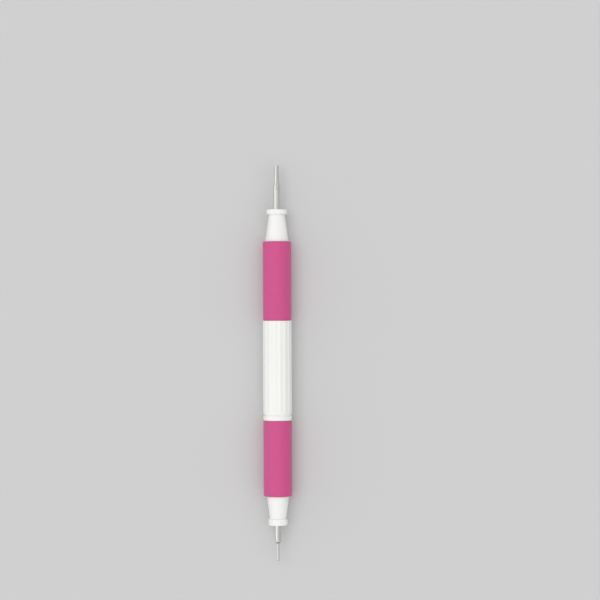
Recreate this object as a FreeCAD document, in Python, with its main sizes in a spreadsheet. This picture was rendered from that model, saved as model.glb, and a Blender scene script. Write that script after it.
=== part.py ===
import FreeCAD, Part
import os
import re

import Sketcher

# A double-ended quilling tool: a fluted barrel between two rubber grips, and at each
# end a white nose that holds a steel tip.  The slotted tip catches and rolls the paper
# strip, and the applicator at the other end places dots of glue.
# The tool lies along Y with the slotted tip towards +Y, and the origin is under its
# middle, on the surface that it lies on.  Lengths are in millimetres.
#
# Each piece is drawn on its own axis, +Z pointing away from the middle of the tool.
SIZES = {
    "barrel_length": (38.15, "from one grip to the other"),
    "barrel_diameter": (11.1, "over the ridges between the flutes"),
    "barrel_bore": (6.0, "right through, for the spigots of the noses"),
    "barrel_chamfer": (0.15, "edge of the barrel at the upper grip"),
    "flute_count": (16, "flutes round the barrel"),
    "flute_depth": (0.12, "below the flat between two ridges"),
    "ridge_width": (0.4, "land left between two flutes"),
    "collar_length": (3.3, "plain band at the applicator end of the barrel"),
    "collar_step": (0.1, "collar below the ridges, on the radius"),
    "collar_edge_length": (1.6, "collar between the lower grip and its groove"),
    "collar_groove_width": (0.6, "decorative groove round the collar"),
    "collar_groove_depth": (0.3, "into the collar"),
    "neck_diameter": (9.0, "what the grips are pushed over"),
    "grip_diameter": (10.9, "outside of both grips"),
    "grip_round": (0.5, "soft edges of the grips"),
    "grip_clearance": (0.03, "grip to neck, on the radius"),
    "upper_grip_length": (30.35, "grip next to the slotted tip"),
    "lower_grip_length": (29.1, "grip next to the applicator"),
    "nose_seat_length": (8.0, "nose inside the grip"),
    "nose_lead_length": (1.6, "last of the cone, inside the mouth of the grip"),
    "spigot_length": (12.0, "nose inside the barrel"),
    "spigot_clearance": (0.05, "spigot to barrel bore, on the radius"),
    "spigot_chamfer": (0.4, "lead-in on the spigot"),
    "ring_round": (0.3, "edges of the rings"),
    "upper_ring_diameter": (7.8, "ring at the end of the upper nose"),
    "upper_ring_thickness": (1.9, "along the tool"),
    "upper_cone_length": (10.35, "from the grip to the ring"),
    "upper_cone_mouth": (8.9, "diameter at the grip"),
    "upper_cone_waist": (6.0, "diameter at the ring"),
    "lower_ring_diameter": (7.3, "ring at the end of the lower nose"),
    "lower_ring_thickness": (2.4, "along the tool"),
    "lower_cone_length": (8.7, "from the grip to the ring"),
    "lower_cone_mouth": (8.5, "diameter at the grip"),
    "lower_cone_waist": (6.2, "diameter at the ring"),
    "shaft_diameter": (2.5, "steel wire of both tips"),
    "shaft_clearance": (0.02, "wire to its hole, on the radius"),
    "root_length": (16.0, "wire inside the nose"),
    "root_gap": (0.4, "left at the bottom of the hole"),
    "wire_chamfer": (0.2, "turned edges of the wire"),
    "slotted_shaft_length": (8.6, "full wire outside the nose"),
    "slotted_taper_length": (1.9, "wire turned down"),
    "slotted_point_length": (6.3, "thin end of the slotted tip"),
    "slotted_point_diameter": (1.8, "thin end of the slotted tip"),
    "slot_width": (0.45, "holds the edge of a paper strip"),
    "slot_length": (9.6, "from the very end"),
    "relief_width": (0.7, "eye at the root of the slot"),
    "relief_length": (2.5, "eye at the root of the slot"),
    "applicator_shaft_length": (6.15, "full wire outside the nose"),
    "applicator_taper_length": (1.1, "wire turned down"),
    "applicator_point_length": (6.5, "thin end with its ball"),
    "applicator_point_diameter": (1.0, "thin end of the applicator"),
    "ball_diameter": (1.3, "end of the applicator"),
}

# Lengths of each end outside the barrel, and where the pieces start along the tool.
UPPER_TIP = "(slotted_shaft_length + slotted_taper_length + slotted_point_length)"
UPPER_NOSE = "(upper_cone_length + upper_ring_thickness)"
LOWER_TIP = "(applicator_shaft_length + applicator_taper_length + applicator_point_length)"
LOWER_NOSE = "(lower_cone_length + lower_ring_thickness)"
UPPER_END = f"({UPPER_TIP} + {UPPER_NOSE} + upper_grip_length)"
LOWER_END = f"({LOWER_TIP} + {LOWER_NOSE} + lower_grip_length)"
BARREL_START = f"(({LOWER_END} - {UPPER_END} - barrel_length) / 2)"
BARREL_END = f"({BARREL_START} + barrel_length)"

# A flute is cut by a round cutter, from ridge to ridge.
FLUTE_HALF_ANGLE = "(180 deg / flute_count - asin(ridge_width / barrel_diameter))"
FLUTE_HALF_WIDTH = f"(barrel_diameter / 2 * sin({FLUTE_HALF_ANGLE}))"
RIDGE_HEIGHT = f"(barrel_diameter / 2 * cos({FLUTE_HALF_ANGLE}))"
CUTTER_RADIUS = f"(({FLUTE_HALF_WIDTH}^2 + flute_depth^2) / (2 * flute_depth))"

COLLAR_RADIUS = "(barrel_diameter / 2 - collar_step)"
# The tool rests on two ridges, or on a grip or the collar if one of these is fatter.
AXIS_HEIGHT = f"max({RIDGE_HEIGHT}; {COLLAR_RADIUS}; grip_diameter / 2)"

UPWARDS, DOWNWARDS = 1, -1
SAME_SIZE = 1e-6


def formula(words):
    """A size formula with each size pointed at its cell of the sheet."""

    def cell(word):
        return "sizes." + word[0] if word[0] in SIZES else word[0]

    return re.sub(r"[a-z_]+", cell, words)


def bind(feature, prop, words):
    feature.setExpression(prop, formula(words))


def make_sheet(doc):
    sheet = doc.addObject("Spreadsheet::Sheet", "sizes")
    for row, (name, (number, meaning)) in enumerate(SIZES.items(), start=1):
        sheet.set(f"A{row}", str(number))
        sheet.set(f"B{row}", meaning)
        sheet.setAlias(f"A{row}", name)
    doc.recompute()
    return sheet


def make_body(doc, name, station, way=UPWARDS):
    """An empty body whose own +Z runs along the tool, up or down it."""
    body = doc.addObject("PartDesign::Body", name)
    body.Label = name
    turn = FreeCAD.Rotation(FreeCAD.Vector(1, 0, 0), -90 * way)
    body.Placement = FreeCAD.Placement(FreeCAD.Vector(), turn)
    bind(body, "Placement.Base.y", station)
    bind(body, "Placement.Base.z", AXIS_HEIGHT)
    return body


def make_sketch(body, name, plane):
    sketch = body.newObject("Sketcher::SketchObject", name)
    face = next(part for part in body.Origin.OriginFeatures if part.Role == plane)
    sketch.AttachmentSupport = [(face, "")]
    sketch.MapMode = "FlatFace"
    return sketch


def place_point(sketch, geometry, point, across, along):
    """Dimension one point of a sketch from the sketch's origin."""
    for direction, words in (("DistanceX", across), ("DistanceY", along)):
        place = Sketcher.Constraint(direction, -1, 1, geometry, point, 1.0)
        bind(sketch, f"Constraints[{sketch.addConstraint(place)}]", words)


def draw_outline(sketch, corners):
    """Closed outline of straight sides.  Each corner has its own two dimensions."""
    rough = [FreeCAD.Vector(1 + corner, corner, 0) for corner in range(len(corners))]
    for start, end in zip(rough, rough[1:] + rough[:1]):
        sketch.addGeometry(Part.LineSegment(start, end))
    for side in range(len(corners)):
        following = (side + 1) % len(corners)
        sketch.addConstraint(Sketcher.Constraint("Coincident", side, 2, following, 1))
    for side, (across, along) in enumerate(corners):
        place_point(sketch, side, 1, across, along)


def draw_band(sketch, half_width, low, high):
    """Rectangle about the sketch's upright axis."""
    left = f"-{half_width}"
    draw_outline(sketch, [(left, low), (half_width, low), (half_width, high), (left, high)])


def draw_circle(sketch, height, radius):
    """Circle with its centre on the sketch's upright axis."""
    upright = FreeCAD.Vector(0, 0, 1)
    sketch.addGeometry(Part.Circle(FreeCAD.Vector(0, 8, 0), upright, 2))
    place_point(sketch, 0, 3, "0", height)
    size = sketch.addConstraint(Sketcher.Constraint("Radius", 0, 2.0))
    bind(sketch, f"Constraints[{size}]", radius)


def revolve(body, corners):
    """Turn an outline, given as radius and height, about the body's own axis."""
    sketch = make_sketch(body, body.Name + "_outline", "XZ_Plane")
    draw_outline(sketch, corners)
    turned = body.newObject("PartDesign::Revolution", body.Name + "_turned")
    turned.Profile = sketch
    turned.ReferenceAxis = (sketch, ["V_Axis"])
    turned.Angle = 360
    sketch.Document.recompute()
    return turned


def round_rims(body, feature, diameter, rounding):
    """Fillet every circular edge that has this diameter."""
    rims = [
        f"Edge{number}"
        for number, edge in enumerate(feature.Shape.Edges, start=1)
        if isinstance(edge.Curve, Part.Circle)
        and abs(edge.Curve.Radius * 2 - SIZES[diameter][0]) < SAME_SIZE
    ]
    fillet = body.newObject("PartDesign::Fillet", body.Name + "_rims")
    fillet.Base = (feature, rims)
    bind(fillet, "Radius", rounding)
    body.Document.recompute()
    return fillet


def make_barrel(doc):
    body = make_body(doc, "barrel", BARREL_START)
    bore, neck = "barrel_bore / 2", "neck_diameter / 2"
    low = "-(lower_grip_length - nose_seat_length)"
    high = "barrel_length + upper_grip_length - nose_seat_length"
    groove = f"{COLLAR_RADIUS} - collar_groove_depth"
    groove_high = "collar_edge_length + collar_groove_width"
    revolve(
        body,
        [
            (bore, low),
            (neck, low),
            (neck, "0"),
            (COLLAR_RADIUS, "0"),
            (COLLAR_RADIUS, "collar_edge_length"),
            (groove, "collar_edge_length"),
            (groove, groove_high),
            (COLLAR_RADIUS, groove_high),
            (COLLAR_RADIUS, "collar_length"),
            ("barrel_diameter / 2", "collar_length"),
            ("barrel_diameter / 2", "barrel_length - barrel_chamfer"),
            ("barrel_diameter / 2 - barrel_chamfer", "barrel_length"),
            (neck, "barrel_length"),
            (neck, high),
            (bore, high),
        ],
    )
    cut_flutes(body)


def cut_flutes(body):
    """Flutes from the collar to the other end, the first one under the axis."""
    sketch = make_sketch(body, "flute_cutter", "XY_Plane")
    bind(sketch, "AttachmentOffset.Base.z", "collar_length")
    draw_circle(sketch, f"{RIDGE_HEIGHT} - flute_depth + {CUTTER_RADIUS}", CUTTER_RADIUS)
    flute = body.newObject("PartDesign::Pocket", "flute")
    flute.Profile = sketch
    flute.Reversed = True
    bind(flute, "Length", "barrel_length - collar_length")
    flutes = body.newObject("PartDesign::PolarPattern", "flutes")
    flutes.Originals = [flute]
    flutes.Axis = (sketch, ["N_Axis"])
    flutes.Angle = 360
    bind(flutes, "Occurrences", "flute_count")
    body.Tip = flutes
    body.Document.recompute()


def make_grip(doc, name, station, way):
    """Rubber sleeve over the barrel's neck and the foot of the nose."""
    body = make_body(doc, name, station, way)
    bore = "neck_diameter / 2 + grip_clearance"
    outside = "grip_diameter / 2"
    length = name + "_length"
    sleeve = revolve(body, [(bore, "0"), (outside, "0"), (outside, length), (bore, length)])
    round_rims(body, sleeve, "grip_diameter", "grip_round")


def make_nose(doc, end, station, way):
    """Nose of one end.  Its own zero is at the mouth of the grip."""
    body = make_body(doc, end + "_nose", station, way)
    spigot = "(barrel_bore / 2 - spigot_clearance)"
    foot = "-nose_seat_length - spigot_length"
    neck = "neck_diameter / 2"
    hole = "shaft_diameter / 2 + shaft_clearance"
    ring = f"{end}_cone_length"
    face = f"{end}_cone_length + {end}_ring_thickness"
    floor = f"{face} - root_length - root_gap"
    turned = revolve(
        body,
        [
            ("0", foot),
            (f"{spigot} - spigot_chamfer", foot),
            (spigot, f"{foot} + spigot_chamfer"),
            (spigot, "-nose_seat_length"),
            (neck, "-nose_seat_length"),
            (neck, "-nose_lead_length"),
            (f"{end}_cone_mouth / 2", "0"),
            (f"{end}_cone_waist / 2", ring),
            (f"{end}_ring_diameter / 2", ring),
            (f"{end}_ring_diameter / 2", face),
            (hole, face),
            (hole, floor),
            ("0", floor),
        ],
    )
    round_rims(body, turned, f"{end}_ring_diameter", "ring_round")


def make_slotted_tip(doc, station):
    """Wire with a slot sawn through its thin end.  Its own zero is at the nose's face."""
    body = make_body(doc, "slotted_tip", station)
    shaft, point = "shaft_diameter / 2", "slotted_point_diameter / 2"
    revolve(
        body,
        [
            ("0", "-root_length"),
            (f"{shaft} - wire_chamfer", "-root_length"),
            (shaft, "-root_length + wire_chamfer"),
            (shaft, "slotted_shaft_length"),
            (point, "slotted_shaft_length + slotted_taper_length"),
            (point, f"{UPPER_TIP} - wire_chamfer"),
            (f"{point} - wire_chamfer", UPPER_TIP),
            ("0", UPPER_TIP),
        ],
    )
    root = f"{UPPER_TIP} - slot_length"
    slot = make_sketch(body, "slot_outline", "XZ_Plane")
    draw_band(slot, "slot_width / 2", root, UPPER_TIP)
    cut_through(body, slot, "slot")
    cut_relief(body, root)


def cut_relief(body, root):
    """Eye at the root of the slot: two drilled holes and what lies between them."""
    low = f"{root} + relief_width / 2"
    high = f"{root} + relief_length - relief_width / 2"
    for name, height in (("low_hole", low), ("high_hole", high)):
        hole = make_sketch(body, name + "_outline", "XZ_Plane")
        draw_circle(hole, height, "relief_width / 2")
        cut_through(body, hole, name)
    between = make_sketch(body, "relief_outline", "XZ_Plane")
    draw_band(between, "relief_width / 2", low, high)
    cut_through(body, between, "relief")


def cut_through(body, sketch, name):
    """Cut a sketch on a plane through the axis right through, both ways."""
    cut = body.newObject("PartDesign::Pocket", name)
    cut.Profile = sketch
    cut.SideType = "Symmetric"
    cut.Type = "ThroughAll"
    body.Document.recompute()


def make_applicator_tip(doc, station):
    """Wire turned down to a thin point with a ball.  Its own zero is at the nose's face."""
    body = make_body(doc, "applicator_tip", station, DOWNWARDS)
    shaft, point = "shaft_diameter / 2", "applicator_point_diameter / 2"
    ball_centre = f"{LOWER_TIP} - ball_diameter / 2"
    revolve(
        body,
        [
            ("0", "-root_length"),
            (f"{shaft} - wire_chamfer", "-root_length"),
            (shaft, "-root_length + wire_chamfer"),
            (shaft, "applicator_shaft_length"),
            (point, "applicator_shaft_length + applicator_taper_length"),
            (point, ball_centre),
            ("0", ball_centre),
        ],
    )
    ball = body.newObject("PartDesign::AdditiveSphere", "ball")
    plane = next(part for part in body.Origin.OriginFeatures if part.Role == "XY_Plane")
    ball.AttachmentSupport = [(plane, "")]
    ball.MapMode = "FlatFace"
    bind(ball, "AttachmentOffset.Base.z", ball_centre)
    bind(ball, "Radius", "ball_diameter / 2")


def check(doc):
    """Stop if a feature failed, a cut missed, or a piece isn't one closed solid."""
    for item in doc.Objects:
        if {"Invalid", "Error"} & set(item.State):
            raise RuntimeError(f"{item.Label} failed: {item.State}")
        if item.TypeId == "PartDesign::Pocket":
            if item.Shape.Volume >= item.BaseFeature.Shape.Volume:
                raise RuntimeError(f"{item.Label} cut nothing")
    for body in doc.findObjects("PartDesign::Body"):
        shape = body.Shape
        if shape.isNull() or not shape.isValid() or len(shape.Solids) != 1:
            raise RuntimeError(f"{body.Label} isn't one valid solid")


def export(doc):
    os.makedirs("parts", exist_ok=True)
    for body in doc.findObjects("PartDesign::Body"):
        body.Shape.exportStep(os.path.join("parts", body.Label + ".step"))
        print(f"{body.Label}: {body.Shape.Volume:.1f} mm3, {body.Shape.BoundBox}")


def main():
    doc = FreeCAD.newDocument("quilling_tool")
    make_sheet(doc)
    make_barrel(doc)
    make_grip(doc, "upper_grip", BARREL_END, UPWARDS)
    make_grip(doc, "lower_grip", BARREL_START, DOWNWARDS)
    upper_mouth = f"{BARREL_END} + upper_grip_length"
    lower_mouth = f"{BARREL_START} - lower_grip_length"
    make_nose(doc, "upper", upper_mouth, UPWARDS)
    make_nose(doc, "lower", lower_mouth, DOWNWARDS)
    make_slotted_tip(doc, f"{upper_mouth} + {UPPER_NOSE}")
    make_applicator_tip(doc, f"{lower_mouth} - {LOWER_NOSE}")
    doc.recompute()
    check(doc)
    export(doc)


main()
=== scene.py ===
"""Double-ended quilling tool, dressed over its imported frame.

The tool lies along Y with its slotted tip towards +Y.  Every piece is turned or moulded
about that one axis, so each is modelled as a profile that is spun about it, and is then
cut, fluted or rounded.  Lengths are in metres, and MM turns a size in millimetres.
"""

import logging
import math
from collections.abc import Callable, Iterable
from dataclasses import dataclass, field
from enum import Enum

import bmesh
import bpy
from mathutils import Matrix, Vector


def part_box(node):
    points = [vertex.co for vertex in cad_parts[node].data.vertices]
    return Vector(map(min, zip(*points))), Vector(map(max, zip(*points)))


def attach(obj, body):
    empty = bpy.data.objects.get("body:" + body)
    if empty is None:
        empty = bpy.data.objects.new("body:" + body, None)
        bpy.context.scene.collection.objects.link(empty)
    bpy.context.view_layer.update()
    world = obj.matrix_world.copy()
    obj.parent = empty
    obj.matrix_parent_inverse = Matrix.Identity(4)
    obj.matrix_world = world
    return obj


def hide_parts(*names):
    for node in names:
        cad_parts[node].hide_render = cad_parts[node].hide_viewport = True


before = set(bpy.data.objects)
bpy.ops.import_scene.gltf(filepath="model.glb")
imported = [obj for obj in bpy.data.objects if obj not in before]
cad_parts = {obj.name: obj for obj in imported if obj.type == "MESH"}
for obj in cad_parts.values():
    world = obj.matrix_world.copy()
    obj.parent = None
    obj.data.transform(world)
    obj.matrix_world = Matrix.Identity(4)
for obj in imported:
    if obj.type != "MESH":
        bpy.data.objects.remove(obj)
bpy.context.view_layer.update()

MM = 0.001
# Most of a noise's values lie between these two.
PATTERN_LOW, PATTERN_HIGH = 0.3, 0.7
LOG = logging.getLogger("quilling_tool")

Place = tuple[float, float]
Colour = tuple[float, float, float, float]


class Slot(Enum):
    """Material slots of the record that the pieces take their finish from."""

    PLASTIC = "white_plastic"
    RUBBER = "pink_rubber"
    STEEL = "steel"


class End(Enum):
    """The two ends of the tool, as the way that each one points along Y."""

    SLOTTED = 1
    APPLICATOR = -1


# ---------------------------------------------------------------- colours and nodes


def linear(code: str) -> Colour:
    """Turn an sRGB colour into the linear one that shaders take.

    Args:
        code: Hex value such as "#f4f4f2".

    Returns:
        Linear red, green and blue, and an alpha of 1.
    """
    parts = (int(code[place : place + 2], 16) / 255 for place in (1, 3, 5))
    red, green, blue = (
        part / 12.92 if part <= 0.04045 else ((part + 0.055) / 1.055) ** 2.4 for part in parts
    )
    return (red, green, blue, 1.0)


def add_node(
    tree: bpy.types.NodeTree, kind: str, inputs: dict | None = None, **settings: object
) -> bpy.types.Node:
    """Add one node, set its properties, and fill or link its inputs.

    Args:
        tree: Node tree that gets the node.
        kind: Type of the node, such as "ShaderNodeTexNoise".
        inputs: Value or output socket for each input, by name or number.
        **settings: Properties of the node.

    Returns:
        The new node.
    """
    node = tree.nodes.new(kind)
    for name, value in settings.items():
        setattr(node, name, value)
    for name, value in (inputs or {}).items():
        if isinstance(value, bpy.types.NodeSocket):
            tree.links.new(value, node.inputs[name])
        else:
            node.inputs[name].default_value = value
    return node


def new_material(name: str) -> tuple[bpy.types.Material, bpy.types.NodeTree]:
    """Make an empty node material.

    Args:
        name: Name of the real material and how it was made.

    Returns:
        The material and its node tree.
    """
    material = bpy.data.materials.new(name)
    material.use_nodes = True
    material.node_tree.nodes.clear()
    return material, material.node_tree


def per_metre(size: float) -> float:
    """Scale of a noise whose features are this many metres across."""
    return 1.0 / size


def ramp_between(
    tree: bpy.types.NodeTree, factor: bpy.types.NodeSocket, low: float, high: float
) -> bpy.types.NodeSocket:
    """Spread a 0 to 1 pattern over a range of values.

    Args:
        tree: Node tree of the material.
        factor: Pattern from 0 to 1.
        low: Value where the pattern is 0.
        high: Value where the pattern is 1.

    Returns:
        Socket with the spread values.
    """
    spread = add_node(
        tree, "ShaderNodeMapRange", {"Value": factor, "To Min": low, "To Max": high}
    )
    return spread.outputs["Result"]


def tinted(
    tree: bpy.types.NodeTree, factor: bpy.types.NodeSocket, first: str, second: str
) -> bpy.types.NodeSocket:
    """Blend two colours by a pattern.

    Args:
        tree: Node tree of the material.
        factor: Pattern from 0 to 1.
        first: Hex colour where the pattern is 0.
        second: Hex colour where the pattern is 1.

    Returns:
        Colour socket.
    """
    ramp = add_node(tree, "ShaderNodeValToRGB", {"Fac": factor})
    ramp.color_ramp.elements[0].color = linear(first)
    ramp.color_ramp.elements[1].color = linear(second)
    ramp.color_ramp.elements[0].position = PATTERN_LOW
    ramp.color_ramp.elements[1].position = PATTERN_HIGH
    return ramp.outputs["Color"]


# ---------------------------------------------------------------- finishes


@dataclass(frozen=True)
class MouldedAbs:
    """White ABS, injection moulded in a lightly spark-eroded steel mould.

    The eye sees a clean milky white that lets a little light in, a soft satin
    highlight, and barely a trace of flow in the surface.
    """

    name: str = "White ABS moulded satin"
    white: str = "#f0f0ed"
    shaded_white: str = "#ebedea"
    roughness: float = 0.3
    glossier: float = 0.05
    duller: float = 0.07
    ior: float = 1.54
    milkiness: float = 0.5
    light_depth: float = 1.1 * MM
    depth_by_colour: tuple[float, float, float] = (1.0, 0.95, 0.9)
    # A spark-eroded mould leaves pits of some 0.03 mm.  Drawn at 0.25 mm, so that the
    # satin shows from a step away.
    grain: float = 0.25 * MM
    grain_strength: float = 0.3
    grain_height: float = 0.015 * MM
    # Flow marks run along the piece, as the plastic did in the mould.
    flow: float = 9.0 * MM
    flow_stretch: tuple[float, float, float] = (1.0, 0.35, 1.0)

    def material(self) -> bpy.types.Material:
        """Build the material, with flow marks in its colour and grain in its bump."""
        material, tree = new_material(self.name)
        where = add_node(tree, "ShaderNodeTexCoord").outputs["Object"]
        stretch = add_node(
            tree, "ShaderNodeMapping", {"Vector": where, "Scale": self.flow_stretch}
        )
        flow = add_node(
            tree,
            "ShaderNodeTexNoise",
            {"Vector": stretch.outputs["Vector"], "Scale": per_metre(self.flow), "Detail": 3.0},
        )
        grain = add_node(
            tree,
            "ShaderNodeTexNoise",
            {"Vector": where, "Scale": per_metre(self.grain), "Detail": 2.0},
        )
        bump = add_node(
            tree,
            "ShaderNodeBump",
            {
                "Height": grain.outputs["Fac"],
                "Strength": self.grain_strength,
                "Distance": self.grain_height,
            },
        )
        shader = add_node(
            tree,
            "ShaderNodeBsdfPrincipled",
            {
                "Base Color": tinted(tree, flow.outputs["Fac"], self.white, self.shaded_white),
                "Roughness": ramp_between(
                    tree,
                    grain.outputs["Fac"],
                    self.roughness - self.glossier,
                    self.roughness + self.duller,
                ),
                "IOR": self.ior,
                "Subsurface Weight": self.milkiness,
                "Subsurface Radius": self.depth_by_colour,
                "Subsurface Scale": self.light_depth,
                "Normal": bump.outputs["Normal"],
            },
        )
        add_node(tree, "ShaderNodeOutputMaterial", {"Surface": shader.outputs["BSDF"]})
        return material


@dataclass(frozen=True)
class MouldedTpr:
    """Pink thermoplastic rubber, moulded as a sleeve with a matt skin.

    The eye sees a saturated pink that pales at a glance along the surface, a wide dull
    highlight, a fine even grain with painted shade darkening its pits, and a few dustier
    patches.
    """

    name: str = "Pink TPR moulded matt"
    pink: str = "#cf528c"
    deep_pink: str = "#c94c86"
    # Painted shade: the pits of the grain are drawn in this darker pink.
    pit_shade_pink: str = "#b43d75"
    roughness: float = 0.52
    glossier: float = 0.06
    duller: float = 0.1
    ior: float = 1.5
    softness: float = 0.1
    light_depth: float = 0.6 * MM
    depth_by_colour: tuple[float, float, float] = (1.0, 0.45, 0.6)
    bloom: float = 0.12
    bloom_roughness: float = 0.45
    # The matt skin is a texture of about 0.1 mm.  Drawn at 0.2 mm so that it shows.
    grain: float = 0.2 * MM
    # Share of the painted pit shade in the colour.
    pit_shade_share: float = 0.35
    grain_strength: float = 0.7
    grain_height: float = 0.08 * MM
    dust: float = 1.5 * MM

    def material(self) -> bpy.types.Material:
        """Build the material, with dust and painted shade in the grain's pits in its colour, and
        grain in its bump.
        """
        material, tree = new_material(self.name)
        where = add_node(tree, "ShaderNodeTexCoord").outputs["Object"]
        dust = add_node(
            tree,
            "ShaderNodeTexNoise",
            {"Vector": where, "Scale": per_metre(self.dust), "Detail": 5.0, "Roughness": 0.6},
        )
        grain = add_node(
            tree,
            "ShaderNodeTexNoise",
            {"Vector": where, "Scale": per_metre(self.grain), "Detail": 2.0},
        )
        bump = add_node(
            tree,
            "ShaderNodeBump",
            {
                "Height": grain.outputs["Fac"],
                "Strength": self.grain_strength,
                "Distance": self.grain_height,
            },
        )
        # Dust patches, mixed with painted shade that darkens the grain's pits.
        dust_and_pit_shade = add_node(
            tree,
            "ShaderNodeMix",
            {
                "Factor": self.pit_shade_share,
                6: tinted(tree, dust.outputs["Fac"], self.deep_pink, self.pink),
                7: tinted(tree, grain.outputs["Fac"], self.pit_shade_pink, self.pink),
            },
            data_type="RGBA",
        )
        shader = add_node(
            tree,
            "ShaderNodeBsdfPrincipled",
            {
                "Base Color": dust_and_pit_shade.outputs[2],
                "Roughness": ramp_between(
                    tree,
                    dust.outputs["Fac"],
                    self.roughness - self.glossier,
                    self.roughness + self.duller,
                ),
                "IOR": self.ior,
                "Subsurface Weight": self.softness,
                "Subsurface Radius": self.depth_by_colour,
                "Subsurface Scale": self.light_depth,
                "Sheen Weight": self.bloom,
                "Sheen Roughness": self.bloom_roughness,
                "Normal": bump.outputs["Normal"],
            },
        )
        add_node(tree, "ShaderNodeOutputMaterial", {"Surface": shader.outputs["BSDF"]})
        return material


@dataclass(frozen=True)
class DrawnSteel:
    """Bright steel wire, drawn and then turned down at its end.

    The eye sees a light grey metal with a sharp streak of light along it, broken a
    little by the fine lines that the die left along the wire.
    """

    axis_height: float
    wire_radius: float
    name: str = "Steel wire drawn bright"
    grey: str = "#dcddd9"
    dull_grey: str = "#c9cac6"
    roughness: float = 0.18
    glossier: float = 0.05
    duller: float = 0.07
    # Die lines are some 0.01 mm apart.  Drawn at 0.12 mm so that they show.
    line: float = 0.12 * MM
    line_strength: float = 0.15
    line_height: float = 0.01 * MM
    # Share of a length along the wire that counts, so that the lines run along it.
    along_share: float = 0.03

    def material(self) -> bpy.types.Material:
        """Build the material, with die lines in its colour, gloss and bump."""
        material, tree = new_material(self.name)
        where = add_node(tree, "ShaderNodeTexCoord").outputs["Object"]
        centred = add_node(
            tree, "ShaderNodeMapping", {"Vector": where, "Location": (0.0, 0.0, -self.axis_height)}
        )
        outward = add_node(
            tree,
            "ShaderNodeVectorMath",
            {0: centred.outputs["Vector"], 1: (1.0, 0.0, 1.0)},
            operation="MULTIPLY",
        )
        way = add_node(
            tree, "ShaderNodeVectorMath", {0: outward.outputs["Vector"]}, operation="NORMALIZE"
        )
        around = add_node(
            tree,
            "ShaderNodeVectorMath",
            {0: way.outputs["Vector"], "Scale": self.wire_radius},
            operation="SCALE",
        )
        along = add_node(
            tree,
            "ShaderNodeVectorMath",
            {0: where, 1: (0.0, self.along_share, 0.0), 2: around.outputs["Vector"]},
            operation="MULTIPLY_ADD",
        )
        lines = add_node(
            tree,
            "ShaderNodeTexNoise",
            {"Vector": along.outputs["Vector"], "Scale": per_metre(self.line), "Detail": 3.0},
        )
        bump = add_node(
            tree,
            "ShaderNodeBump",
            {
                "Height": lines.outputs["Fac"],
                "Strength": self.line_strength,
                "Distance": self.line_height,
            },
        )
        shader = add_node(
            tree,
            "ShaderNodeBsdfPrincipled",
            {
                "Base Color": tinted(tree, lines.outputs["Fac"], self.dull_grey, self.grey),
                "Metallic": 1.0,
                "Roughness": ramp_between(
                    tree,
                    lines.outputs["Fac"],
                    self.roughness - self.glossier,
                    self.roughness + self.duller,
                ),
                "Normal": bump.outputs["Normal"],
            },
        )
        add_node(tree, "ShaderNodeOutputMaterial", {"Surface": shader.outputs["BSDF"]})
        return material


# ---------------------------------------------------------------- edit-mode tools


@dataclass(frozen=True)
class Corner:
    """Corner of a profile: its radius, its station along Y, and how round it is."""

    radius: float
    station: float
    rounding: float = 0.0


def only(piece: bpy.types.Object) -> None:
    """Make a piece the only thing selected, and active."""
    bpy.ops.object.select_all(action="DESELECT")
    piece.select_set(True)
    bpy.context.view_layer.objects.active = piece


def pick(piece: bpy.types.Object, test: Callable[[Vector], bool]) -> int:
    """Select the vertices of a piece in edit mode that pass a test of their place.

    Args:
        piece: Object in edit mode.
        test: Says of a vertex's place whether it is wanted.

    Returns:
        Number of vertices selected.
    """
    mesh = bmesh.from_edit_mesh(piece.data)
    for vertex in mesh.verts:
        vertex.select_set(test(vertex.co))
    mesh.select_flush_mode()
    bmesh.update_edit_mesh(piece.data)
    return sum(vertex.select for vertex in mesh.verts)


def apply_modifier(piece: bpy.types.Object, name: str) -> None:
    """Apply one modifier of a piece."""
    only(piece)
    bpy.ops.object.modifier_apply(modifier=name)


def soften(
    piece: bpy.types.Object, width: float, angle: float = 24.0, clamped: bool = True
) -> None:
    """Round the crisp edges of a piece as its mould or tool leaves them.

    Args:
        piece: Finished mesh.
        width: Width of the rounding, in metres.
        angle: Edges that turn by more than this many degrees are rounded.
        clamped: True if a rounding stops short where it would meet another.
    """
    bevel = piece.modifiers.new("edges", "BEVEL")
    bevel.width = width
    bevel.segments = 2
    bevel.limit_method = "ANGLE"
    bevel.angle_limit = math.radians(angle)
    bevel.use_clamp_overlap = clamped
    apply_modifier(piece, bevel.name)


def clear_slivers(piece: bpy.types.Object, size: float) -> None:
    """Merge the vertices that a cut leaves closer to each other than a size in metres."""
    only(piece)
    bpy.ops.object.mode_set(mode="EDIT")
    bpy.ops.mesh.select_all(action="SELECT")
    bpy.ops.mesh.remove_doubles(threshold=size)
    bpy.ops.mesh.dissolve_degenerate(threshold=size)
    bpy.ops.object.mode_set(mode="OBJECT")


def smooth(piece: bpy.types.Object, angle: float = 35.0) -> None:
    """Shade a piece smooth, but for edges that turn by more than an angle in degrees."""
    only(piece)
    bpy.ops.object.shade_smooth_by_angle(angle=math.radians(angle))


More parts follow.
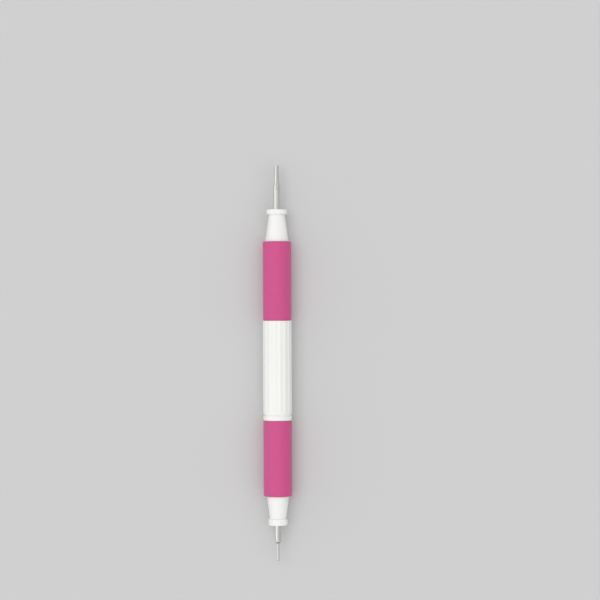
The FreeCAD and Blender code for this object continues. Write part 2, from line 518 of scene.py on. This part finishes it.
def raise_part_line(
    piece: bpy.types.Object, height: float, low: float, high: float, inside: float
) -> None:
    """Raise the hairline that the two halves of a mould leave along both sides.

    A real one is some 0.02 mm high.  It is a little wider and higher here, so that it
    shows in a close view.

    Args:
        piece: Turned piece with a row of vertices at each side, level with its axis.
        height: Height of the axis.
        low: Lowest station of the line, which the line doesn't reach.
        high: Highest station of the line, which the line doesn't reach.
        inside: Radius within which nothing is raised.
    """
    half_width, rise, touch = 0.06 * MM, 0.04 * MM, 0.001 * MM

    def on_line(place: Vector) -> bool:
        """Say of a vertex whether it is at one side of the piece, level with its axis."""
        level = abs(place.z - height) < touch
        return level and abs(place.x) > inside and low < place.y < high

    only(piece)
    bpy.ops.object.mode_set(mode="EDIT")
    pick(piece, on_line)
    bpy.ops.mesh.bevel(offset=half_width, segments=2, affect="EDGES")
    for side in (-1, 1):
        pick(piece, lambda place, side=side: on_line(place) and place.x * side > 0)
        bpy.ops.transform.translate(value=(side * rise, 0.0, 0.0))
    bpy.ops.object.mode_set(mode="OBJECT")


@dataclass
class Lathe:
    """Spins profiles about the tool's axis, which runs along Y at one height."""

    height: float
    steps: int
    rounding_steps: int = 5
    touch: float = 1e-7
    merge: float = 1e-6

    def at(self, corner: Corner) -> Vector:
        """Where a corner of a profile stands before it is spun."""
        return Vector((corner.radius, corner.station, self.height))

    def draw(self, name: str, corners: list[Corner]) -> bpy.types.Object:
        """Draw a profile by extruding one vertex from corner to corner.

        Args:
            name: Name of the piece.
            corners: Corners of the profile in order.

        Returns:
            The profile, in edit mode.
        """
        bpy.ops.object.select_all(action="DESELECT")
        bpy.ops.mesh.primitive_plane_add(size=MM, location=self.at(corners[0]))
        piece = bpy.context.active_object
        piece.name = piece.data.name = name
        bpy.ops.object.transform_apply(location=True, rotation=True, scale=True)
        bpy.ops.object.mode_set(mode="EDIT")
        bpy.ops.mesh.select_all(action="SELECT")
        bpy.ops.mesh.merge(type="CENTER")
        for before, after in zip(corners, corners[1:]):
            step = self.at(after) - self.at(before)
            bpy.ops.mesh.extrude_vertices_move(TRANSFORM_OT_translate={"value": step})
        return piece

    def close(self, piece: bpy.types.Object, corners: list[Corner]) -> None:
        """Join the last corner of a profile to its first, for a piece with a bore."""
        ends = (self.at(corners[0]), self.at(corners[-1]))
        pick(piece, lambda place: any((place - end).length < self.touch for end in ends))
        bpy.ops.mesh.edge_face_add()

    def round_corners(self, piece: bpy.types.Object, corners: Iterable[Corner]) -> None:
        """Bevel the corners of a profile that have a rounding."""
        for corner in corners:
            if corner.rounding:
                where = self.at(corner)
                pick(piece, lambda place, to=where: (place - to).length < self.touch)
                bpy.ops.mesh.bevel(
                    offset=corner.rounding, segments=self.rounding_steps, affect="VERTICES"
                )

    def turn(self, name: str, corners: list[Corner], bored: bool) -> bpy.types.Object:
        """Model a turned piece.

        Args:
            name: Name of the piece.
            corners: Corners of its profile in order, from one end to the other.
            bored: True if the profile is a closed loop round a through bore.

        Returns:
            The piece, in object mode.
        """
        piece = self.draw(name, corners)
        if bored:
            self.close(piece, corners)
        self.round_corners(piece, corners)
        bpy.ops.mesh.select_all(action="SELECT")
        bpy.ops.mesh.spin(
            steps=self.steps,
            angle=math.tau,
            use_auto_merge=True,
            center=(0.0, 0.0, self.height),
            axis=(0.0, 1.0, 0.0),
        )
        bpy.ops.mesh.select_all(action="SELECT")
        bpy.ops.mesh.remove_doubles(threshold=self.merge)
        bpy.ops.mesh.normals_make_consistent(inside=False)
        bpy.ops.object.mode_set(mode="OBJECT")
        return piece


# ---------------------------------------------------------------- the tool's pieces


@dataclass
class Stations:
    """Places along the tool and round it, read from the frame."""

    barrel_foot: float = field(default_factory=lambda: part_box("lower_grip")[1].y)
    barrel_head: float = field(default_factory=lambda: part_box("upper_grip")[0].y)
    upper_mouth: float = field(default_factory=lambda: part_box("upper_grip")[1].y)
    lower_mouth: float = field(default_factory=lambda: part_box("lower_grip")[0].y)
    upper_face: float = field(default_factory=lambda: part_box("upper_nose")[1].y)
    lower_face: float = field(default_factory=lambda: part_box("lower_nose")[0].y)
    axis_height: float = field(
        default_factory=lambda: sum(corner.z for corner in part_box("upper_grip")) / 2
    )
    grip_radius: float = field(
        default_factory=lambda: (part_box("upper_grip")[1].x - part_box("upper_grip")[0].x) / 2
    )
    neck_radius: float = field(
        default_factory=lambda: (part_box("upper_nose")[1].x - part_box("upper_nose")[0].x) / 2
    )
    wire_radius: float = field(
        default_factory=lambda: (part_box("slotted_tip")[1].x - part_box("slotted_tip")[0].x) / 2
    )


def dress(
    piece: bpy.types.Object, node: str, material: bpy.types.Material
) -> bpy.types.Object:
    """Give a piece its finish and let it stand for its CAD node.

    Args:
        piece: Finished mesh.
        node: CAD node that it replaces.
        material: Its material.

    Returns:
        The piece.
    """
    piece.data.materials.clear()
    piece.data.materials.append(material)
    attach(piece, "root")
    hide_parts(node)
    LOG.info("%s stands for %s: %d faces", piece.name, node, len(piece.data.polygons))
    return piece


@dataclass
class Barrel:
    """White barrel with round flutes, a plain grooved collar, and two hidden necks."""

    stations: Stations
    radius: float = 5.55 * MM
    bore: float = 3.0 * MM
    flutes: int = 16
    steps_per_flute: int = 14
    land: float = 0.4 * MM
    flute_depth: float = 0.12 * MM
    collar_length: float = 3.3 * MM
    collar_step: float = 0.1 * MM
    collar_edge: float = 1.6 * MM
    groove_width: float = 0.6 * MM
    groove_depth: float = 0.3 * MM
    edge: float = 0.07 * MM
    touch: float = 0.01 * MM

    def profile(self) -> list[Corner]:
        """Corners of half a section through the barrel, flutes not yet cut."""
        foot, head = self.stations.barrel_foot, self.stations.barrel_head
        low, high = (corner.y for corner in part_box("barrel"))
        neck = self.stations.neck_radius
        collar = self.radius - self.collar_step
        groove = collar - self.groove_depth
        groove_foot = foot + self.collar_edge
        groove_head = groove_foot + self.groove_width
        return [
            Corner(self.bore, low),
            Corner(neck, low),
            Corner(neck, foot),
            Corner(collar, foot),
            Corner(collar, groove_foot),
            Corner(groove, groove_foot),
            Corner(groove, groove_head),
            Corner(collar, groove_head),
            Corner(collar, foot + self.collar_length),
            Corner(self.radius, foot + self.collar_length),
            Corner(self.radius, head),
            Corner(neck, head),
            Corner(neck, high),
            Corner(self.bore, high),
        ]

    def depth_share(self, turn: float) -> float:
        """Radius of a flute's floor as a share of the barrel's.

        Args:
            turn: Angle from the middle of the flute, in radians.

        Returns:
            1 on a land, and less in a flute.
        """
        half_angle = math.pi / self.flutes - self.land / 2 / self.radius
        if abs(turn) >= half_angle:
            return 1.0
        half_width = self.radius * math.sin(half_angle)
        cutter = (half_width**2 + self.flute_depth**2) / (2 * self.flute_depth)
        centre = self.radius * math.cos(half_angle) - self.flute_depth + cutter
        across = centre * math.sin(turn)
        floor = centre * math.cos(turn) - math.sqrt(cutter**2 - across**2)
        return floor / self.radius

    def cut_flutes(self, piece: bpy.types.Object) -> None:
        """Draw the rows of vertices between the lands in towards the axis."""
        height = self.stations.axis_height
        start = self.stations.barrel_foot + self.collar_length - self.touch
        pitch = math.tau / self.flutes
        step = pitch / self.steps_per_flute

        def row(place: Vector, number: int) -> bool:
            """Say of a vertex whether it is in the outer rows of this number."""
            across, up = place.x, place.z - height
            outside = math.hypot(across, up) > self.radius - self.collar_step / 2
            turn = math.remainder(math.atan2(across, up) - number * step, pitch)
            return outside and place.y > start and abs(turn) < step / 4

        only(piece)
        bpy.ops.object.mode_set(mode="EDIT")
        for number in range(self.steps_per_flute):
            share = self.depth_share(math.remainder(number * step, pitch))
            if share < 1.0:
                pick(piece, lambda place, number=number: row(place, number))
                bpy.ops.transform.resize(
                    value=(share, 1.0, share), center_override=(0.0, 0.0, height)
                )
        bpy.ops.object.mode_set(mode="OBJECT")

    def build(self, finish: MouldedAbs) -> bpy.types.Object:
        """Turn the barrel, flute it and dress it."""
        lathe = Lathe(self.stations.axis_height, self.flutes * self.steps_per_flute)
        piece = lathe.turn("barrel_fluted", self.profile(), bored=True)
        self.cut_flutes(piece)
        soften(piece, self.edge)
        smooth(piece)
        return dress(piece, "barrel", finish.material())


@dataclass
class Grip:
    """Pink rubber sleeve pushed over the barrel's neck and the foot of a nose."""

    stations: Stations
    end: End
    room: float = 0.03 * MM
    rounding: float = 0.5 * MM
    inner_edge: float = 0.12 * MM
    steps: int = 128

    def node(self) -> str:
        """Name of the CAD node of this grip."""
        return "upper_grip" if self.end is End.SLOTTED else "lower_grip"

    def build(self, finish: bpy.types.Material) -> bpy.types.Object:
        """Turn the sleeve and dress it."""
        low, high = (corner.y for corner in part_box(self.node()))
        bore = self.stations.neck_radius + self.room
        outside = self.stations.grip_radius
        corners = [
            Corner(bore, low, self.inner_edge),
            Corner(outside, low, self.rounding),
            Corner(outside, high, self.rounding),
            Corner(bore, high, self.inner_edge),
        ]
        piece = Lathe(self.stations.axis_height, self.steps).turn(
            self.node() + "_sleeve", corners, bored=True
        )
        smooth(piece)
        return dress(piece, self.node(), finish)


@dataclass
class Nose:
    """White nose with a ring, a cone that runs into the grip, and a hidden spigot."""

    stations: Stations
    end: End
    mouth_radius: float
    waist_radius: float
    ring_radius: float
    ring_thickness: float
    ring_rounding: float = 0.3 * MM
    seat: float = 8.0 * MM
    lead: float = 1.6 * MM
    spigot_radius: float = 2.95 * MM
    wire_room: float = 0.02 * MM
    hole_depth: float = 16.4 * MM
    edge: float = 0.12 * MM
    spigot_chamfer: float = 0.4 * MM
    waist_rounding: float = 0.15 * MM
    # The mould line starts this far inside the grip and this far within the waist.
    line_lead: float = 0.01 * MM
    line_inset: float = 0.1 * MM
    steps: int = 128
    crease: float = 25.0

    def node(self) -> str:
        """Name of the CAD node of this nose."""
        return "upper_nose" if self.end is End.SLOTTED else "lower_nose"

    def profile(self) -> list[Corner]:
        """Corners of half a section, from the foot of the spigot to the wire's hole."""
        way = self.end.value
        slotted = self.end is End.SLOTTED
        mouth = self.stations.upper_mouth if slotted else self.stations.lower_mouth
        face = self.stations.upper_face if slotted else self.stations.lower_face
        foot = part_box(self.node())[0 if slotted else 1].y
        ring = face - way * self.ring_thickness
        neck = self.stations.neck_radius
        hole = self.stations.wire_radius + self.wire_room
        return [
            Corner(0.0, foot),
            Corner(self.spigot_radius, foot, self.spigot_chamfer),
            Corner(self.spigot_radius, mouth - way * self.seat),
            Corner(neck, mouth - way * self.seat),
            Corner(neck, mouth - way * self.lead),
            Corner(self.mouth_radius, mouth),
            Corner(self.waist_radius, ring, self.waist_rounding),
            Corner(self.ring_radius, ring, self.ring_rounding),
            Corner(self.ring_radius, face, self.ring_rounding),
            Corner(hole, face, self.edge),
            Corner(hole, face - way * self.hole_depth),
            Corner(0.0, face - way * self.hole_depth),
        ]

    def build(self, finish: bpy.types.Material) -> bpy.types.Object:
        """Turn the nose and dress it."""
        lathe = Lathe(self.stations.axis_height, self.steps)
        piece = lathe.turn(self.node() + "_ringed", self.profile(), bored=False)
        slotted = self.end is End.SLOTTED
        mouth = self.stations.upper_mouth if slotted else self.stations.lower_mouth
        face = self.stations.upper_face if slotted else self.stations.lower_face
        low, high = sorted((mouth - self.end.value * self.line_lead, face))
        inside = self.waist_radius - self.line_inset
        raise_part_line(piece, self.stations.axis_height, low, high, inside)
        smooth(piece, self.crease)
        return dress(piece, self.node(), finish)


@dataclass
class SlottedTip:
    """Steel wire, turned down, with a slot that ends in an eye."""

    stations: Stations
    shaft: float = 8.6 * MM
    taper: float = 1.9 * MM
    point_radius: float = 0.9 * MM
    slot_width: float = 0.45 * MM
    slot_length: float = 9.6 * MM
    eye_width: float = 0.7 * MM
    eye_length: float = 2.5 * MM
    chamfer: float = 0.2 * MM
    edge: float = 0.02 * MM
    edge_angle: float = 40.0
    sliver: float = 0.01 * MM
    cutter_depth: float = 6 * MM
    past_end: float = 1 * MM
    drill_sides: int = 48
    steps: int = 64
    crease: float = 30.0

    def cutters(self) -> list[bpy.types.Object]:
        """Blocks and drills of the shape of the slot and of its eye."""
        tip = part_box("slotted_tip")[1].y
        root = tip - self.slot_length
        height = self.stations.axis_height
        drill = self.eye_width / 2
        eye_foot, eye_head = root + drill, root + self.eye_length - drill
        made = []
        for width, low, high in (
            (self.slot_width, eye_foot, tip + self.past_end),
            (self.eye_width, eye_foot, eye_head),
        ):
            bpy.ops.mesh.primitive_cube_add(size=1.0, location=(0.0, (low + high) / 2, height))
            bpy.context.active_object.scale = (width, high - low, self.cutter_depth)
            made.append(bpy.context.active_object)
        for station in (eye_foot, eye_head):
            bpy.ops.mesh.primitive_cylinder_add(
                vertices=self.drill_sides,
                radius=drill,
                depth=self.cutter_depth,
                location=(0.0, station, height),
            )
            made.append(bpy.context.active_object)
        return made

    def build(self, finish: bpy.types.Material) -> bpy.types.Object:
        """Turn the wire, saw its slot and dress it."""
        root, tip = (corner.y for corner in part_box("slotted_tip"))
        wire, face = self.stations.wire_radius, self.stations.upper_face
        corners = [
            Corner(0.0, root),
            Corner(wire, root, self.chamfer),
            Corner(wire, face + self.shaft, self.chamfer),
            Corner(self.point_radius, face + self.shaft + self.taper, self.chamfer),
            Corner(self.point_radius, tip, self.chamfer),
            Corner(0.0, tip),
        ]
        lathe = Lathe(self.stations.axis_height, self.steps)
        piece = lathe.turn("slotted_tip_wire", corners, bored=False)
        for cutter in self.cutters():
            saw = piece.modifiers.new("saw", "BOOLEAN")
            saw.operation = "DIFFERENCE"
            saw.solver = "EXACT"
            saw.object = cutter
            apply_modifier(piece, saw.name)
            bpy.data.objects.remove(cutter)
        clear_slivers(piece, self.sliver)
        soften(piece, self.edge, angle=self.edge_angle, clamped=False)
        smooth(piece, self.crease)
        return dress(piece, "slotted_tip", finish)


@dataclass
class ApplicatorTip:
    """Steel wire, turned down to a thin point that ends in a ball."""

    stations: Stations
    shaft: float = 6.15 * MM
    taper: float = 1.1 * MM
    point_radius: float = 0.5 * MM
    ball_radius: float = 0.65 * MM
    ball_steps: int = 14
    chamfer: float = 0.2 * MM
    steps: int = 64
    crease: float = 30.0

    def ball(self, tip: float) -> list[Corner]:
        """Corners down the ball, from where the point enters it to its end."""
        centre = tip + self.ball_radius
        start = math.asin(self.point_radius / self.ball_radius)
        turns = (
            start + (math.pi - start) * number / self.ball_steps
            for number in range(self.ball_steps + 1)
        )
        return [
            Corner(
                max(0.0, self.ball_radius * math.sin(turn)),
                centre + self.ball_radius * math.cos(turn),
            )
            for turn in turns
        ]

    def build(self, finish: bpy.types.Material) -> bpy.types.Object:
        """Turn the wire and its ball and dress them."""
        tip, root = (corner.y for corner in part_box("applicator_tip"))
        wire, face = self.stations.wire_radius, self.stations.lower_face
        corners = [
            Corner(0.0, root),
            Corner(wire, root, self.chamfer),
            Corner(wire, face - self.shaft, self.chamfer),
            Corner(self.point_radius, face - self.shaft - self.taper, self.chamfer),
            *self.ball(tip),
        ]
        lathe = Lathe(self.stations.axis_height, self.steps)
        piece = lathe.turn("applicator_wire", corners, bored=False)
        smooth(piece, self.crease)
        return dress(piece, "applicator_tip", finish)


# ---------------------------------------------------------------- studio


@dataclass(frozen=True)
class SoftWalls:
    """Walls and ceiling of light round the studio, brighter on the left.

    Matt surfaces see them as one even slope of light.  Shiny ones see what is in them: a
    window in the left wall, and end walls that are bright above and dim at their foot.
    The camera sees a plain backdrop of the floor's own grey.
    """

    left: float = 0.82
    right: float = 0.54
    window: float = 1.5
    plain_wall: float = 0.6
    end_wall_top: float = 1.9
    end_wall_foot: float = 0.03
    # Heights, as the upward part of a direction, where the end walls start to brighten
    # and where they are brightest.
    foot_ends: float = 0.2
    top_starts: float = 0.65
    # How fast the window and the end walls fade towards the other walls.
    fading: float = 2.0
    backdrop: str = "#cbcbcb"

    def mirrored(
        self, tree: bpy.types.NodeTree, leftward: bpy.types.NodeSocket, way: bpy.types.Node
    ) -> bpy.types.NodeSocket:
        """Brightness of the walls as shiny surfaces see them.

        Args:
            tree: Node tree of the world.
            leftward: 1 for light that comes level from the left, and 0 from the right.
            way: Node that gives the parts X, Y and Z of where the light comes from.

        Returns:
            Socket with the brightness.
        """
        window = add_node(
            tree, "ShaderNodeMath", {0: leftward, 1: self.fading}, operation="POWER"
        )
        endward = add_node(
            tree, "ShaderNodeMath", {0: way.outputs["Y"], 1: self.fading}, operation="POWER"
        )
        end_walls = add_node(
            tree,
            "ShaderNodeMapRange",
            {
                "Value": way.outputs["Z"],
                "From Min": self.foot_ends,
                "From Max": self.top_starts,
                "To Min": self.end_wall_foot,
                "To Max": self.end_wall_top,
            },
            interpolation_type="SMOOTHSTEP",
        )
        both = add_node(
            tree,
            "ShaderNodeMix",
            {
                "Factor": endward.outputs["Value"],
                2: ramp_between(tree, window.outputs["Value"], self.plain_wall, self.window),
                3: end_walls.outputs["Result"],
            },
        )
        return both.outputs[0]

    def build(self) -> None:
        """Make the walls the scene's world."""
        world = bpy.data.worlds.new("Soft walls")
        bpy.context.scene.world = world
        world.use_nodes = True
        tree = world.node_tree
        tree.nodes.clear()
        coordinates = add_node(tree, "ShaderNodeTexCoord")
        way = add_node(
            tree, "ShaderNodeSeparateXYZ", {"Vector": coordinates.outputs["Generated"]}
        )
        leftward = add_node(
            tree,
            "ShaderNodeMapRange",
            {"Value": way.outputs["X"], "From Min": 1.0, "From Max": -1.0},
        ).outputs["Result"]
        rays = add_node(tree, "ShaderNodeLightPath")
        strength = add_node(
            tree,
            "ShaderNodeMix",
            {
                "Factor": rays.outputs["Is Glossy Ray"],
                2: ramp_between(tree, leftward, self.right, self.left),
                3: self.mirrored(tree, leftward, way),
            },
        )
        walls = add_node(
            tree,
            "ShaderNodeBackground",
            {"Color": linear("#ffffff"), "Strength": strength.outputs[0]},
        )
        backdrop = add_node(tree, "ShaderNodeBackground", {"Color": linear(self.backdrop)})
        seen = add_node(
            tree,
            "ShaderNodeMixShader",
            {
                0: rays.outputs["Is Camera Ray"],
                1: walls.outputs["Background"],
                2: backdrop.outputs["Background"],
            },
        )
        add_node(tree, "ShaderNodeOutputWorld", {"Surface": seen.outputs["Shader"]})


@dataclass
class Studio:
    """Pale floor, soft lights, and a camera that looks straight down as in the photo."""

    stations: Stations
    floor_grey: str = "#c8c8c8"
    floor_side: float = 60.0
    floor_fibre_scale: float = 900.0
    floor_roughness: tuple[float, float] = (0.75, 0.9)
    frame_pixels: int = 600
    pixel: float = 0.3832 * MM
    tool_middle: Place = (277.4, 363.3)
    tilt: float = math.radians(0.24)
    lens: float = 130.0
    sensor: float = 36.0
    view_reach: tuple[float, float] = (0.01, 100.0)

    def floor(self) -> None:
        """Lay the floor that the tool rests on."""
        bpy.ops.object.select_all(action="DESELECT")
        bpy.ops.mesh.primitive_plane_add(size=self.floor_side, location=(0.0, 0.0, 0.0))
        floor = bpy.context.active_object
        floor.name = "floor"
        material, tree = new_material("Pale grey card")
        where = add_node(tree, "ShaderNodeTexCoord").outputs["Object"]
        fibre = add_node(
            tree, "ShaderNodeTexNoise", {"Vector": where, "Scale": self.floor_fibre_scale}
        )
        shader = add_node(
            tree,
            "ShaderNodeBsdfPrincipled",
            {
                "Base Color": linear(self.floor_grey),
                "Roughness": ramp_between(tree, fibre.outputs["Fac"], *self.floor_roughness),
            },
        )
        add_node(tree, "ShaderNodeOutputMaterial", {"Surface": shader.outputs["BSDF"]})
        floor.data.materials.append(material)

    def sun(self, name: str, place: Vector, strength: float, spread: float) -> None:
        """Hang a wide, far softbox, which lights the whole floor evenly.

        It doesn't show in reflections, where the walls take its place.

        Args:
            name: Name of the lamp.
            place: Where the light comes from, seen from the tool.
            strength: Light on a surface that faces it, in watts per square metre.
            spread: How wide it looks from the tool, in degrees.
        """
        light = bpy.data.lights.new(name, "SUN")
        light.energy, light.angle = strength, math.radians(spread)
        lamp = bpy.data.objects.new(name, light)
        bpy.context.scene.collection.objects.link(lamp)
        lamp.visible_glossy = False
        lamp.rotation_mode = "QUATERNION"
        lamp.rotation_quaternion = (-place).to_track_quat("-Z", "Y")

    def camera(self) -> None:
        """Look straight down, framed and turned as the photograph is."""
        data = bpy.data.cameras.new("camera")
        data.lens, data.sensor_width = self.lens, self.sensor
        camera = bpy.data.objects.new("camera", data)
        bpy.context.scene.collection.objects.link(camera)
        bpy.context.scene.camera = camera
        half = self.frame_pixels / 2
        across = (half - self.tool_middle[0]) * self.pixel
        along = (self.tool_middle[1] - half) * self.pixel
        aim = Matrix.Rotation(-self.tilt, 3, "Z") @ Vector((across, along, 0.0))
        away = self.frame_pixels * self.pixel * self.lens / self.sensor
        camera.location = aim + Vector((0.0, 0.0, self.stations.axis_height + away))
        camera.rotation_euler = (0.0, 0.0, -self.tilt)
        data.clip_start, data.clip_end = self.view_reach

    def build(self) -> None:
        """Set up everything round the tool."""
        bpy.context.scene.view_settings.view_transform = "Standard"
        self.floor()
        self.sun("key", Vector((-0.3, 0.2, 1.0)), strength=0.9, spread=50.0)
        self.sun("fill", Vector((0.6, -0.3, 0.9)), strength=0.5, spread=60.0)
        SoftWalls().build()
        self.camera()


# ---------------------------------------------------------------- main


def main() -> None:
    """Build the tool piece by piece, then the studio."""
    logging.basicConfig(level=logging.INFO, format="%(name)s: %(message)s")
    stations = Stations()
    rubber = MouldedTpr().material()
    steel = DrawnSteel(stations.axis_height, stations.wire_radius).material()
    plastic = MouldedAbs()
    noses = plastic.material()
    Barrel(stations).build(plastic)
    Grip(stations, End.SLOTTED).build(rubber)
    Grip(stations, End.APPLICATOR).build(rubber)
    Nose(
        stations,
        End.SLOTTED,
        mouth_radius=4.45 * MM,
        waist_radius=3.0 * MM,
        ring_radius=3.9 * MM,
        ring_thickness=1.9 * MM,
    ).build(noses)
    Nose(
        stations,
        End.APPLICATOR,
        mouth_radius=4.25 * MM,
        waist_radius=3.1 * MM,
        ring_radius=3.65 * MM,
        ring_thickness=2.4 * MM,
    ).build(noses)
    SlottedTip(stations).build(steel)
    ApplicatorTip(stations).build(steel)
    Studio(stations).build()


if __name__ == "__main__":
    main()
